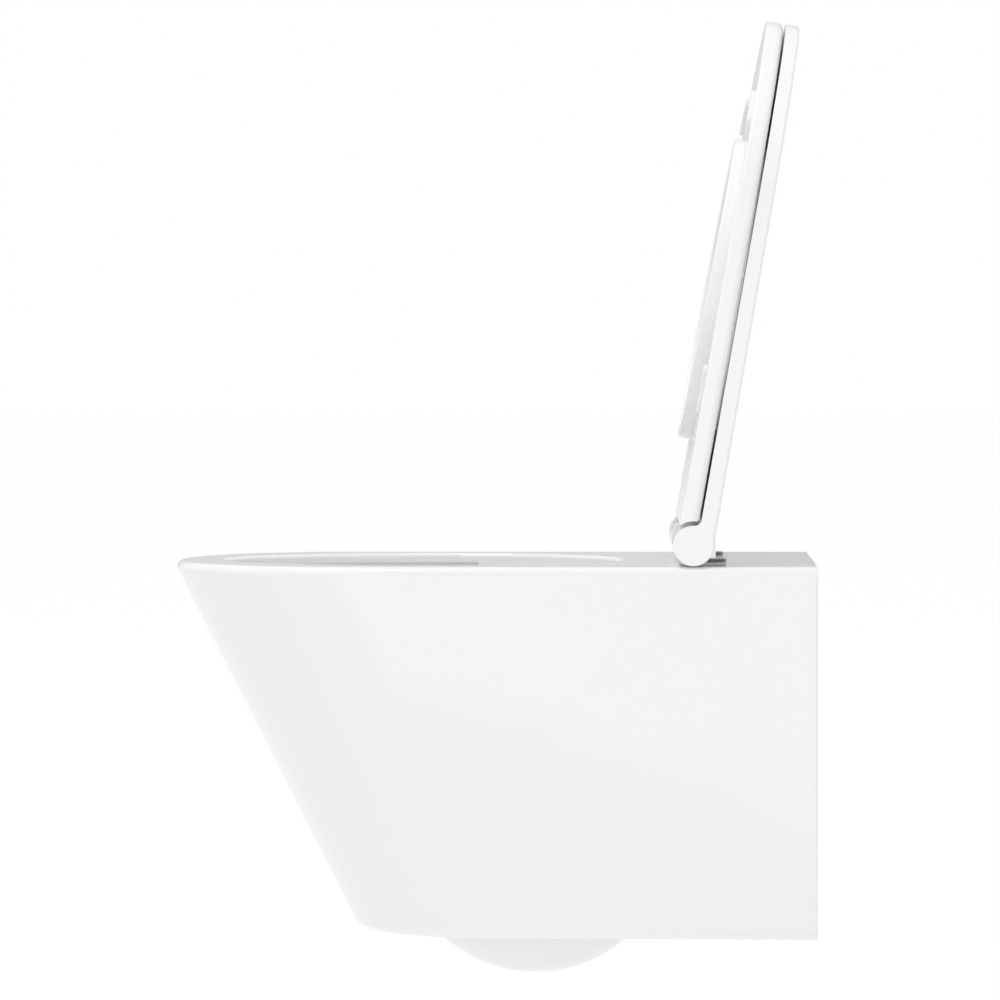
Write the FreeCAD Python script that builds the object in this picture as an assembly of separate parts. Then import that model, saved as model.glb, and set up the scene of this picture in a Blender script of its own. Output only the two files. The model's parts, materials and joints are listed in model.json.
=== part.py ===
import FreeCAD, Part
import math
import os

os.makedirs("parts", exist_ok=True)

V = FreeCAD.Vector

# ---------------------------------------------------------------------------
# Wall hung toilet, millimetres. The wall is the plane y = 0 and the pan
# stands out from it towards -Y. The origin lies on the wall, midway between
# the two fixing studs. X runs across, Z is up. Left is -X and right is +X.
# The seat and the lid are drawn closed, then raised to their rest position.
# ---------------------------------------------------------------------------

# Wall interface
STUD_SPACING = 180.0
RIM_ABOVE_STUDS = 80.0
INLET_ABOVE_STUDS = 35.0
OUTLET_BELOW_STUDS = 100.0
STUD_CLEARANCE_R = 6.5
INLET_R = 27.5
INLET_DEPTH = 58.0
DUCT_WIDTH = 46.0
DUCT_HEIGHT = 20.0
DUCT_REACH = 40.0
OUTLET_R = 51.0
SPIGOT_LENGTH = 74.0
SPIGOT_RECESS = 5.0
TRAP_END_IN_SPIGOT = 40.0

# Pan body. Its length is to the sharp tip, before the top edge is rounded.
PAN_LENGTH = 543.7
PAN_WIDTH = 360.0
PAN_HEIGHT = 309.5
TOP_NOSE = 150.0
BASE_LENGTH = 387.0
BASE_NOSE = 115.0
BASE_WIDTH = 326.0
BASE_WIDTH_AT_WALL = 352.0
SKIRT_WALL = 12.0
DECK_WALL = 16.0
FLOOR_WALL = 11.0
TOP_EDGE_R = 6.0
BASE_EDGE_R = 7.0

# Bowl
BOWL_REAR = 160.0
BOWL_WIDEST = 310.0
RIM_FRONT_WIDTH = 41.7
RIM_SIDE_WIDTH = 42.0
BOWL_WALL = 10.0
RIM_LIP = 8.0
RIM_EDGE_R = 3.0
GROOVE_DEPTH = 8.0
GROOVE_HEIGHT = 20.0
GROOVE_START = 286.0
LEDGE_WIDTH = 5.0
# Share of the bowl's depth, how far its front and its rear have drawn in
# there, and its share of the full width
BOWL_STEPS = ((0.30, 32.0, 22.0, 0.80), (0.62, 90.0, 52.0, 0.56), (0.84, 142.0, 74.0, 0.38))

# Trap
TRAP_R = 36.0
TRAP_WALL = 9.0
TRAP_BEND_R = 46.0
TRAP_CREST_R = 60.0
TRAP_RISE_ANGLE = 50.0
TRAP_CENTRE_Y = -240.0
TRAP_DROP = 352.0
TRAP_FLOOR = 10.0
THROAT_BELOW_RIM = 210.0
BULGE_R = 118.0
BULGE_CENTRE_Y = -235.0
BULGE_WALL = 10.0
BULGE_HALF_WIDTH = 62.0
SPIGOT_WALL = 7.0

# Webs that take the wall fixings
WEB_Y = -30.0
WEB_THICKNESS = 12.0
WEB_INNER_X = 56.0
WEB_BOTTOM_Z = -32.0
WEB_HOLE_R = 14.0

# Wall fixings
SLEEVE_R = 11.0
SLEEVE_LENGTH = 66.0
BUSH_FLANGE_R = 18.0
BUSH_FLANGE = 3.0
CLAMP_WIDTH = 32.0
CLAMP_DEPTH = 16.0
CLAMP_BELOW = 18.0
CLAMP_ABOVE = 22.0
CLAMP_SCREW_R = 4.0
CLAMP_SCREW_LENGTH = 24.0
CLAMP_HEAD_R = 7.0
CLAMP_HEAD = 5.0

# Seat fixings in the deck
HINGE_SPACING = 155.0
HINGE_HOLE_Y = -94.0
HINGE_HOLE_R = 7.0
GASKET = 0.8
ROSETTE_R = 20.0
ROSETTE = 3.0
POST_R = 5.0
POST_HEIGHT = 12.2
BOLT_R = 3.0
BOLT_HEAD_R = 4.8
BOLT_HEAD = 3.4
BOLT_BELOW_DECK = 12.0
WASHER_R = 12.0
WASHER = 1.8
NUT_R = 5.8
NUT = 5.2

# Hinge line
AXIS_Y = -103.0
AXIS_ABOVE_RIM = 17.6
ROLL_R = 16.8
OPEN_ANGLE = 100.0
BARREL_R = 13.5
BARREL_INNER_X = 46.0
BARREL_OUTER_X = 110.0
BOSS_R = 11.0
BOSS_TOP = 5.4
PIN_R = 4.0
PIN_INNER_X = 95.0
DAMPER_R = 9.5
DAMPER_LENGTH = 22.0
BEARING_R = 6.0
KNUCKLE_R = 13.5
KNUCKLE_INNER_X = 113.0
KNUCKLE_SIDE_GAP = 2.5
EAR_WIDTH = 29.5
PIN_END_COVER = 3.0

# Release buttons
BUTTON_R = 4.5
BUTTON_CAP = 5.3
BUTTON_PROUD = 0.8
BUTTON_STEM_R = 2.2
BUTTON_STEM = 9.0
BUTTON_TRAVEL = 2.0

# Seat and lid
SEAT_OVERHANG = 3.3
SEAT_INSET = 1.0
SEAT_TOP = 1.2
SEAT_THICKNESS = 15.0
SEAT_REAR_R = 20.5
SEAT_REAR_EDGE_R = 2.0
SEAT_TOP_EDGE_R = 5.5
SEAT_BASE_EDGE_R = 2.0
LID_GAP = 1.7
LID_FRONT_THICKNESS = 11.9
LID_BASE_EDGE_R = 0.6
EAR_ROOT_R = 6.0
LID_TOP_EDGE_R = 2.5
LID_NOTCH = 16.0
LIP_REAR = 83.0
LIP_FROM_TIP = 103.0
LIP_INSET = 66.0
LIP_WALL = 5.0
LIP_DEPTH_FRONT = 8.5
LIP_DEPTH_REAR = 12.5
LIP_EDGE_R = 1.5
FRONT_BUFFER_FROM_TIP = 79.5
FRONT_BUFFER_INSET = 66.0
FRONT_BUFFER_ANGLE = 45.0
REAR_BUFFER_S = 128.0
REAR_BUFFER_INSET = 34.0
REAR_BUFFER_ANGLE = 90.0
BUFFER_LENGTH = 42.0
BUFFER_WIDTH = 13.0
BUFFER_GAP = 0.3
LID_PAD_R = 6.5
LID_PAD_FROM_TIP = 84.0
LID_PAD_FRONT_INSET = 67.0
LID_PAD_REAR_S = 90.0
LID_PAD_REAR_INSET = 39.0

# Clearances
FIT = 0.1
RUNNING = 0.05
SIDE = 0.5

# Derived places
RIM_Z = RIM_ABOVE_STUDS
BASE_Z = RIM_Z - PAN_HEIGHT
HALF_STUDS = STUD_SPACING / 2
HALF_HINGE = HINGE_SPACING / 2
AXIS_Z = RIM_Z + AXIS_ABOVE_RIM
SEAT_BASE = SEAT_TOP - SEAT_THICKNESS
LID_BASE = SEAT_TOP + LID_GAP
BOWL_FRONT = PAN_LENGTH - RIM_FRONT_WIDTH
BOWL_WIDTH = PAN_WIDTH - 2 * RIM_SIDE_WIDTH
SEAT_WIDTH = PAN_WIDTH - 2 * SEAT_INSET
SEAT_LENGTH = PAN_LENGTH + AXIS_Y + SEAT_OVERHANG
SEAT_NOSE = TOP_NOSE
HALF_SEAT = SEAT_WIDTH / 2
EAR_INNER_X = HALF_SEAT - EAR_WIDTH
KNUCKLE_OUTER_X = EAR_INNER_X - KNUCKLE_SIDE_GAP
PIN_OUTER_X = HALF_SEAT - PIN_END_COVER
LIP_FRONT = SEAT_LENGTH - LIP_FROM_TIP
LIP_WIDTH = SEAT_WIDTH - 2 * LIP_INSET
ROSETTE_TOP_Z = RIM_Z + GASKET + ROSETTE
POST_TOP_Z = ROSETTE_TOP_Z + POST_HEIGHT
SIDES = {"left": -1, "right": 1}


# ---------------------------------------------------------------------------
# Drawing helpers
# ---------------------------------------------------------------------------
def cylinder(radius, start, end):
    """Round bar from one point to another."""
    axis = end - start
    return Part.makeCylinder(radius, axis.Length, start, axis)


def tube(outer, inner, start, end):
    return cylinder(outer, start, end).cut(cylinder(inner, start, end))


def box(x0, x1, y0, y1, z0, z1):
    """Box between two corners, given in any order of x."""
    low = V(min(x0, x1), min(y0, y1), min(z0, z1))
    return Part.makeBox(abs(x1 - x0), abs(y1 - y0), abs(z1 - z0), low)


def half_ellipse(centre_y, z, half_width, reach, towards):
    """Half ellipse from +X to -X whose nose points along Y by towards."""
    centre = V(0, centre_y, z)
    side = V(half_width, centre_y, z)
    nose = V(0, centre_y + towards * reach, z)
    if half_width >= reach:
        curve = Part.Ellipse(side, nose, centre)
        return curve.toShape(0, math.pi)
    curve = Part.Ellipse(nose, V(-half_width, centre_y, z), centre)
    return curve.toShape(-math.pi / 2, math.pi / 2)


def d_outline(back_y, length, nose, half_back, half_front, z):
    """Straight back, side lines and an elliptical nose towards -Y."""
    nose_y = -(length - nose)
    right_back = V(half_back, back_y, z)
    right_front = V(half_front, nose_y, z)
    left_front = V(-half_front, nose_y, z)
    left_back = V(-half_back, back_y, z)
    edges = [
        Part.makeLine(left_back, right_back),
        Part.makeLine(right_back, right_front),
        half_ellipse(nose_y, z, half_front, nose, -1),
        Part.makeLine(left_front, left_back),
    ]
    return Part.Wire(Part.__sortEdges__(edges))


def egg(widest_y, front_y, rear_y, half_width, z):
    """Closed oval of two half ellipses that meet where it is widest."""
    front = half_ellipse(widest_y, z, half_width, widest_y - front_y, -1)
    rear = half_ellipse(widest_y, z, half_width, rear_y - widest_y, 1)
    return Part.Wire(Part.__sortEdges__([front, rear]))


def prism(wire, z0, z1):
    """Extrude a flat wire between two heights."""
    base = wire.copy()
    base.translate(V(0, 0, z0 - wire.BoundBox.ZMin))
    return Part.Face(base).extrude(V(0, 0, z1 - z0))


def fillet_where(solid, radius, chosen):
    """Round the edges whose middle point and edge pass the test."""
    edges = [e for e in solid.Edges if chosen(e)]
    return solid.makeFillet(radius, edges)


def flat_edge_at(z, back_y):
    """Test for edges lying at height z, apart from the one at the back."""
    def chosen(edge):
        b = edge.BoundBox
        at_height = abs(b.ZMin - z) < 0.01 and abs(b.ZMax - z) < 0.01
        at_back = b.YMin > back_y - 0.01
        return at_height and not at_back
    return chosen


def pipe(radius, path_edges, start, direction):
    """Round pipe along a smooth path."""
    ring = Part.Wire(Part.makeCircle(radius, start, direction))
    return Part.Wire(path_edges).makePipeShell([ring], True, False)


def hexagon(radius, x, y, z0, z1):
    points = [
        V(x + radius * math.cos(math.radians(60 * i)),
          y + radius * math.sin(math.radians(60 * i)), z0)
        for i in range(7)
    ]
    return Part.Face(Part.makePolygon(points)).extrude(V(0, 0, z1 - z0))


def raised(shape):
    """Turn a piece drawn closed about the hinge line into its rest place."""
    turned = shape.copy()
    turned.rotate(V(0, AXIS_Y, AXIS_Z), V(1, 0, 0), -OPEN_ANGLE)
    return turned


def from_axis(s, h, x=0.0):
    """Point s in front of the hinge line and h above it, seat closed."""
    return V(x, AXIS_Y - s, AXIS_Z + h)


def export(name, solids):
    shape = solids[0] if len(solids) == 1 else Part.makeCompound(solids)
    shape.exportStep("parts/" + name + ".step")
    print(name, len(shape.Solids), round(shape.Volume / 1000, 1), "cm3")


# ---------------------------------------------------------------------------
# Ceramic pan
# ---------------------------------------------------------------------------
def skirt():
    """Outer form: slanted nose, near-upright sides, hollow and open behind."""
    past_wall = 2.0
    base = d_outline(past_wall, BASE_LENGTH, BASE_NOSE, BASE_WIDTH_AT_WALL / 2,
                     BASE_WIDTH / 2, BASE_Z)
    top = d_outline(past_wall, PAN_LENGTH, TOP_NOSE, PAN_WIDTH / 2, PAN_WIDTH / 2, RIM_Z)
    outer = Part.makeLoft([base, top], True, True)
    outer = fillet_where(outer, TOP_EDGE_R, flat_edge_at(RIM_Z, past_wall))
    outer = fillet_where(outer, BASE_EDGE_R, flat_edge_at(BASE_Z, past_wall))
    outer = outer.common(box(-PAN_WIDTH, PAN_WIDTH, -2 * PAN_LENGTH, 0,
                             2 * BASE_Z, 2 * RIM_Z))

    # The hollow follows the outside one wall further in, and runs out behind.
    slope = (PAN_LENGTH - BASE_LENGTH) / PAN_HEIGHT
    hollow_base_z = BASE_Z + FLOOR_WALL
    hollow_top_z = RIM_Z - DECK_WALL
    low_length = BASE_LENGTH + slope * FLOOR_WALL - SKIRT_WALL
    high_length = PAN_LENGTH - slope * DECK_WALL - SKIRT_WALL
    low = d_outline(past_wall, low_length, BASE_NOSE, BASE_WIDTH_AT_WALL / 2 - SKIRT_WALL,
                    BASE_WIDTH / 2 - SKIRT_WALL, hollow_base_z)
    high = d_outline(past_wall, high_length, TOP_NOSE, PAN_WIDTH / 2 - SKIRT_WALL,
                     PAN_WIDTH / 2 - SKIRT_WALL, hollow_top_z)
    return outer, Part.makeLoft([low, high], True, True)


def bowl_sections(grow):
    """Ovals from the ledge down to the throat; grow makes the outer skin."""
    ledge_z = RIM_Z - RIM_LIP - GROOVE_HEIGHT
    throat_y = TRAP_CENTRE_Y - TRAP_BEND_R
    half = BOWL_WIDTH / 2
    depth = ledge_z - (RIM_Z - THROAT_BELOW_RIM)
    forms = [(0.0, BOWL_FRONT - LEDGE_WIDTH, BOWL_REAR + LEDGE_WIDTH, half - LEDGE_WIDTH)]
    for share, front_in, rear_in, width_share in BOWL_STEPS:
        forms.append((share, BOWL_FRONT - front_in, BOWL_REAR + rear_in, half * width_share))
    forms.append((1.0, -throat_y + TRAP_R, -throat_y - TRAP_R, TRAP_R))
    wires = []
    for share, front, rear, half_width in forms:
        widest = -BOWL_WIDEST + (BOWL_WIDEST + throat_y) * share
        z = ledge_z - depth * share
        wires.append(egg(widest, -front - grow, -rear + grow, half_width + grow, z))
    return wires


def trap_path(start_z, end_y):
    """Centre line of the passage: down, round the bend, up and over, out."""
    bend_z = RIM_Z - TRAP_DROP + TRAP_FLOOR + TRAP_R + TRAP_BEND_R
    crest_z = -OUTLET_BELOW_STUDS
    throat_y = TRAP_CENTRE_Y - TRAP_BEND_R
    rise = math.radians(TRAP_RISE_ANGLE)

    def on_bend(angle):
        return V(0, TRAP_CENTRE_Y + TRAP_BEND_R * math.sin(angle),
                 bend_z - TRAP_BEND_R * math.cos(angle))

    start = V(0, throat_y, start_z)
    bend_start = V(0, throat_y, bend_z)
    bend_end = on_bend(rise)
    crest_start_z = crest_z - TRAP_CREST_R * (1 - math.cos(rise))
    run = (crest_start_z - bend_end.z) / math.tan(rise)
    crest_start = V(0, bend_end.y + run, crest_start_z)
    crest_centre = V(0, crest_start.y + TRAP_CREST_R * math.sin(rise),
                     crest_z - TRAP_CREST_R)
    half_rise = rise / 2
    crest_middle = crest_centre + V(0, -TRAP_CREST_R * math.sin(half_rise),
                                    TRAP_CREST_R * math.cos(half_rise))
    crest_end = V(0, crest_centre.y, crest_z)
    out = V(0, end_y, crest_z)
    bend_middle = on_bend((rise - math.pi / 2) / 2)
    return [
        Part.makeLine(start, bend_start),
        Part.Arc(bend_start, bend_middle, bend_end).toShape(),
        Part.makeLine(bend_end, crest_start),
        Part.Arc(crest_start, crest_middle, crest_end).toShape(),
        Part.makeLine(crest_end, out),
    ]


def round_edged_wheel(inset):
    """Disc standing across X with a fully rounded rim, shrunk by inset."""
    centre = V(0, BULGE_CENTRE_Y, RIM_Z - TRAP_DROP + BULGE_R)
    hub = BULGE_R - BULGE_HALF_WIDTH
    half = BULGE_HALF_WIDTH - inset
    across = V(1, 0, 0)
    disc = cylinder(hub, centre - across * half, centre + across * half)
    return disc.fuse(Part.makeTorus(hub, half, centre, across))


def ceramic_pan():
    outer, hollow = skirt()
    pan = outer.cut(hollow)
    throat_y = TRAP_CENTRE_Y - TRAP_BEND_R
    trap_top_z = RIM_Z - THROAT_BELOW_RIM
    half_bowl = BOWL_WIDTH / 2
    groove_top_z = RIM_Z - RIM_LIP
    groove_base_z = groove_top_z - GROOVE_HEIGHT

    # Rounded bulge of the trap under the pan, hollow like the skirt.
    under = box(-BULGE_R, BULGE_R, BULGE_CENTRE_Y - BULGE_R, BULGE_CENTRE_Y + BULGE_R,
                BASE_Z - BULGE_R, BASE_Z + FLOOR_WALL)
    pan = pan.fuse(round_edged_wheel(0).common(under))
    pan = pan.cut(round_edged_wheel(BULGE_WALL).common(under))

    # Bowl shell, with the band behind the rim that holds the flush groove.
    band_grow = GROOVE_DEPTH + BOWL_WALL
    band = prism(egg(-BOWL_WIDEST, -BOWL_FRONT - band_grow, -BOWL_REAR + band_grow,
                     half_bowl + band_grow, 0),
                 groove_base_z - BOWL_WALL, RIM_Z - DECK_WALL / 2)
    band = band.common(outer)
    shell = Part.makeLoft(bowl_sections(BOWL_WALL), True, False)
    trap_outer = pipe(TRAP_R + TRAP_WALL,
                      trap_path(trap_top_z + TRAP_R, -SPIGOT_RECESS - TRAP_END_IN_SPIGOT),
                      V(0, throat_y, trap_top_z + TRAP_R), V(0, 0, -1))
    spigot = cylinder(OUTLET_R, V(0, -SPIGOT_RECESS - SPIGOT_LENGTH, -OUTLET_BELOW_STUDS),
                      V(0, -SPIGOT_RECESS, -OUTLET_BELOW_STUDS))
    inlet = cylinder(INLET_R + BOWL_WALL - 1, V(0, -BOWL_REAR, INLET_ABOVE_STUDS),
                     V(0, -SPIGOT_RECESS, INLET_ABOVE_STUDS))
    pan = pan.fuse([band, shell, trap_outer, spigot, inlet] + webs())

    # Everything that water or a fixing passes through.
    opening = prism(egg(-BOWL_WIDEST, -BOWL_FRONT, -BOWL_REAR, half_bowl, 0),
                    groove_base_z, RIM_Z + 1)
    groove = prism(egg(-BOWL_WIDEST, -BOWL_FRONT - GROOVE_DEPTH, -BOWL_REAR,
                       half_bowl + GROOVE_DEPTH, 0), groove_base_z, groove_top_z)
    groove = groove.common(box(-PAN_WIDTH, PAN_WIDTH, -PAN_LENGTH, -GROOVE_START,
                               BASE_Z, RIM_Z))
    inside = Part.makeLoft(bowl_sections(0), True, False)
    passage = pipe(TRAP_R, trap_path(trap_top_z + 1, -SPIGOT_RECESS + 1),
                   V(0, throat_y, trap_top_z + 1), V(0, 0, -1))
    spigot_bore = cylinder(OUTLET_R - SPIGOT_WALL,
                           V(0, -SPIGOT_RECESS - SPIGOT_LENGTH + SPIGOT_WALL,
                             -OUTLET_BELOW_STUDS),
                           V(0, 1, -OUTLET_BELOW_STUDS))
    inlet_bore = cylinder(INLET_R, V(0, -SPIGOT_RECESS - INLET_DEPTH, INLET_ABOVE_STUDS),
                          V(0, 1, INLET_ABOVE_STUDS))
    duct_top_z = groove_base_z - BOWL_WALL + 2
    flush_duct = box(-DUCT_WIDTH / 2, DUCT_WIDTH / 2, -BOWL_REAR - DUCT_REACH, -INLET_DEPTH,
                     duct_top_z - DUCT_HEIGHT, duct_top_z)
    holes = []
    for side in SIDES.values():
        holes.append(cylinder(HINGE_HOLE_R, V(side * HALF_HINGE, HINGE_HOLE_Y, 0),
                              V(side * HALF_HINGE, HINGE_HOLE_Y, RIM_Z + 1)))
        holes.append(cylinder(WEB_HOLE_R, V(side * HALF_STUDS, WEB_Y + 1, 0),
                              V(side * HALF_STUDS, WEB_Y - WEB_THICKNESS - 1, 0)))
    pan = pan.cut([opening, groove, inside, passage, spigot_bore, inlet_bore,
                   flush_duct] + holes)

    def rim_edge(edge):
        b = edge.BoundBox
        flat = abs(b.ZMin - RIM_Z) < 0.01 and abs(b.ZMax - RIM_Z) < 0.01
        return flat and b.YMax < -BOWL_REAR + 1 and b.YMin > -BOWL_FRONT - 1
    pan = fillet_where(pan, RIM_EDGE_R, rim_edge)
    return pan


def webs():
    """Upright ceramic webs that the wall fixings pull on, one each side."""
    made = []
    outer_x = PAN_WIDTH / 2 - SKIRT_WALL / 2
    for side in SIDES.values():
        made.append(box(side * WEB_INNER_X, side * outer_x, WEB_Y, WEB_Y - WEB_THICKNESS,
                        WEB_BOTTOM_Z, RIM_Z - DECK_WALL / 2))
    return made


# ---------------------------------------------------------------------------
# Wall fixings
# ---------------------------------------------------------------------------
def wall_fixings():
    screws = []
    web_back = WEB_Y - WEB_THICKNESS
    clamp_y = web_back - BUSH_FLANGE
    screw_y = clamp_y - CLAMP_DEPTH / 2
    for name, side in SIDES.items():
        x = side * HALF_STUDS
        sleeve = tube(SLEEVE_R, STUD_CLEARANCE_R, V(x, -SLEEVE_LENGTH, 0), V(x, 0, 0))
        export("wall_sleeve_" + name, [sleeve])

        bush = tube(WEB_HOLE_R - FIT, SLEEVE_R + FIT, V(x, clamp_y, 0), V(x, WEB_Y, 0))
        flange = tube(BUSH_FLANGE_R, SLEEVE_R + FIT, V(x, clamp_y, 0), V(x, web_back, 0))
        export("fixing_bush_" + name, [bush.fuse(flange)])

        half = CLAMP_WIDTH / 2
        block = box(x - half, x + half, clamp_y, clamp_y - CLAMP_DEPTH,
                    -CLAMP_BELOW, CLAMP_ABOVE)
        block = block.makeFillet(2, [e for e in block.Edges if abs(e.tangentAt(0).y) > 0.9])
        block = block.cut(cylinder(SLEEVE_R + FIT, V(x, 0, 0), V(x, -SLEEVE_LENGTH, 0)))
        block = block.cut(cylinder(CLAMP_SCREW_R + FIT, V(x, screw_y, 0),
                                   V(x, screw_y, CLAMP_ABOVE + 1)))
        export("clamp_block_" + name, [block])

        foot = V(x, screw_y, SLEEVE_R)
        neck = foot + V(0, 0, CLAMP_SCREW_LENGTH)
        shank = cylinder(CLAMP_SCREW_R, foot, neck)
        head = hexagon(CLAMP_HEAD_R, x, screw_y, neck.z, neck.z + CLAMP_HEAD)
        screws.append(shank.fuse(head))
    export("clamp_screws", screws)


# ---------------------------------------------------------------------------
# Posts and bolts on the deck
# ---------------------------------------------------------------------------
def deck_fixings():
    bolts = []
    washers = []
    nuts = []
    deck_under_z = RIM_Z - DECK_WALL
    for name, side in SIDES.items():
        x = side * HALF_HINGE

        def at(z):
            return V(x, HINGE_HOLE_Y, z)

        gasket = tube(ROSETTE_R - 0.5, BOLT_R + FIT, at(RIM_Z), at(RIM_Z + GASKET))
        export("rosette_gasket_" + name, [gasket])

        rosette = cylinder(ROSETTE_R, at(RIM_Z + GASKET), at(ROSETTE_TOP_Z))
        rosette = fillet_where(rosette, 1.2, lambda e: e.BoundBox.ZMin > ROSETTE_TOP_Z - 0.01)
        rosette = rosette.cut(cylinder(BOLT_R + FIT, at(RIM_Z), at(ROSETTE_TOP_Z + 1)))
        export("hinge_rosette_" + name, [rosette])

        post = cylinder(POST_R, at(ROSETTE_TOP_Z), at(POST_TOP_Z))
        latch_z = ROSETTE_TOP_Z + POST_HEIGHT / 2
        latch_groove = tube(POST_R + 1, POST_R - 1, at(latch_z - 1), at(latch_z + 1))
        post = post.cut(latch_groove)
        post = post.cut(cylinder(BOLT_R + FIT, at(RIM_Z), at(POST_TOP_Z + 1)))
        export("hinge_post_" + name, [post])

        expander = tube(HINGE_HOLE_R - FIT, BOLT_R + FIT, at(deck_under_z), at(RIM_Z))
        export("expansion_sleeve_" + name, [expander])

        tip_z = deck_under_z - BOLT_BELOW_DECK
        shank = cylinder(BOLT_R, at(tip_z), at(POST_TOP_Z))
        head = cylinder(BOLT_HEAD_R, at(POST_TOP_Z), at(POST_TOP_Z + BOLT_HEAD))
        socket = hexagon(BOLT_R - 0.3, x, HINGE_HOLE_Y, POST_TOP_Z + 1.2,
                         POST_TOP_Z + BOLT_HEAD)
        bolts.append(shank.fuse(head).cut(socket))
        washers.append(tube(WASHER_R, BOLT_R + FIT, at(deck_under_z - WASHER),
                            at(deck_under_z)))
        nut_top = deck_under_z - WASHER
        nut = hexagon(NUT_R, x, HINGE_HOLE_Y, nut_top - NUT, nut_top)
        nuts.append(nut.cut(cylinder(BOLT_R + RUNNING, at(tip_z), at(RIM_Z))))
    export("hinge_bolts", bolts)
    export("hinge_washers", washers)
    export("hinge_nuts", nuts)


# ---------------------------------------------------------------------------
# Hinge bodies, pins, dampers and release buttons
# ---------------------------------------------------------------------------
def hinge_bodies():
    for name, side in SIDES.items():
        x = side * HALF_HINGE
        barrel_in = V(side * BARREL_INNER_X, AXIS_Y, AXIS_Z)
        barrel_out = V(side * BARREL_OUTER_X, AXIS_Y, AXIS_Z)
        damper_in = barrel_out - V(side * (DAMPER_LENGTH + SIDE), 0, 0)
        socket_z = ROSETTE_TOP_Z + SIDE
        socket_top_z = POST_TOP_Z + BOLT_HEAD + SIDE
        boss_top_z = AXIS_Z + BOSS_TOP

        barrel = cylinder(BARREL_R, barrel_in, barrel_out)
        barrel = barrel.makeFillet(1.5, [e for e in barrel.Edges
                                         if abs(e.BoundBox.XLength) < 0.01])
        boss = cylinder(BOSS_R, V(x, HINGE_HOLE_Y, socket_z), V(x, HINGE_HOLE_Y, boss_top_z))
        barrel = barrel.fuse(boss)

        # The button sits in the front of the barrel, ahead of the post.
        front_y = AXIS_Y - BARREL_R - BUTTON_PROUD
        cap_back_y = front_y + BUTTON_CAP
        stem_end_y = cap_back_y + BUTTON_STEM

        def on_line(y):
            return V(x, y, AXIS_Z)

        cuts = [
            cylinder(POST_R + FIT, V(x, HINGE_HOLE_Y, RIM_Z), V(x, HINGE_HOLE_Y, socket_top_z)),
            cylinder(DAMPER_R + FIT, damper_in, barrel_out + V(side, 0, 0)),
            cylinder(BUTTON_R + FIT, on_line(front_y - 1),
                     on_line(cap_back_y + BUTTON_TRAVEL + SIDE)),
            cylinder(BUTTON_STEM_R + FIT, on_line(front_y),
                     on_line(stem_end_y + BUTTON_TRAVEL + SIDE)),
        ]
        export("hinge_barrel_" + name, [barrel.cut(cuts)])

        cap = cylinder(BUTTON_R, on_line(front_y), on_line(cap_back_y))
        cap = fillet_where(cap, 0.8, lambda e: e.BoundBox.YMax < front_y + 0.01)
        stem = cylinder(BUTTON_STEM_R, on_line(cap_back_y), on_line(stem_end_y))
        export("release_button_" + name, [cap.fuse(stem)])

        damper_end = barrel_out - V(side * SIDE / 2, 0, 0)
        damper_start = damper_end - V(side * DAMPER_LENGTH, 0, 0)
        pin_start = V(side * PIN_INNER_X, AXIS_Y, AXIS_Z)
        pin_end = V(side * PIN_OUTER_X, AXIS_Y, AXIS_Z)
        damper = cylinder(DAMPER_R, damper_start, damper_end)
        damper = damper.cut(cylinder(PIN_R + FIT, pin_start - V(side, 0, 0), pin_end))
        which = "lid_damper" if side > 0 else "seat_damper"
        export(which, [damper])

        pin = cylinder(PIN_R, pin_start, pin_end)
        pin = pin.makeChamfer(0.6, [e for e in pin.Edges if abs(e.BoundBox.XLength) < 0.01])
        export("hinge_pin_" + name, [pin])


# ---------------------------------------------------------------------------
# Seat and lid, drawn closed
# ---------------------------------------------------------------------------
def seat_outline(z):
    """D outline shared by seat and lid, from the hinge line to the tip."""
    return d_outline(AXIS_Y, -AXIS_Y + SEAT_LENGTH, SEAT_NOSE, HALF_SEAT, HALF_SEAT, z)


def slice_between(points, half_width):
    """Prism across X from a side profile given as (s, h) points."""
    corners = [from_axis(s, h, -half_width) for s, h in points]
    face = Part.Face(Part.makePolygon(corners + corners[:1]))
    return face.extrude(V(2 * half_width, 0, 0))


def bearings(shape, inner_x, outer_x):
    """Cut the bush seats on both sides and return the bushes too."""
    bushes = {}
    for name, side in SIDES.items():
        start = V(side * inner_x, AXIS_Y, AXIS_Z)
        end = V(side * outer_x, AXIS_Y, AXIS_Z)
        shape = shape.cut(cylinder(BEARING_R, start - V(side, 0, 0), end))
        bushes[name] = tube(BEARING_R - 0.02, PIN_R + RUNNING, start, end)
    return shape, bushes


def ear_root():
    """Concave rounding where the roll runs into the underside of the lid."""
    centre_h = LID_BASE - EAR_ROOT_R
    centre_s = math.sqrt((ROLL_R + EAR_ROOT_R) ** 2 - centre_h ** 2)
    share = ROLL_R / (ROLL_R + EAR_ROOT_R)
    wedge = slice_between([
        (ROLL_R / 2, LID_BASE + 1), (ROLL_R / 2, 0), (centre_s * share, centre_h * share),
        (centre_s, centre_h), (centre_s, LID_BASE + 1)], HALF_SEAT - 1)
    hollow = cylinder(EAR_ROOT_R, from_axis(centre_s, centre_h, -PAN_WIDTH),
                      from_axis(centre_s, centre_h, PAN_WIDTH))
    return wedge.cut(hollow)


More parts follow.
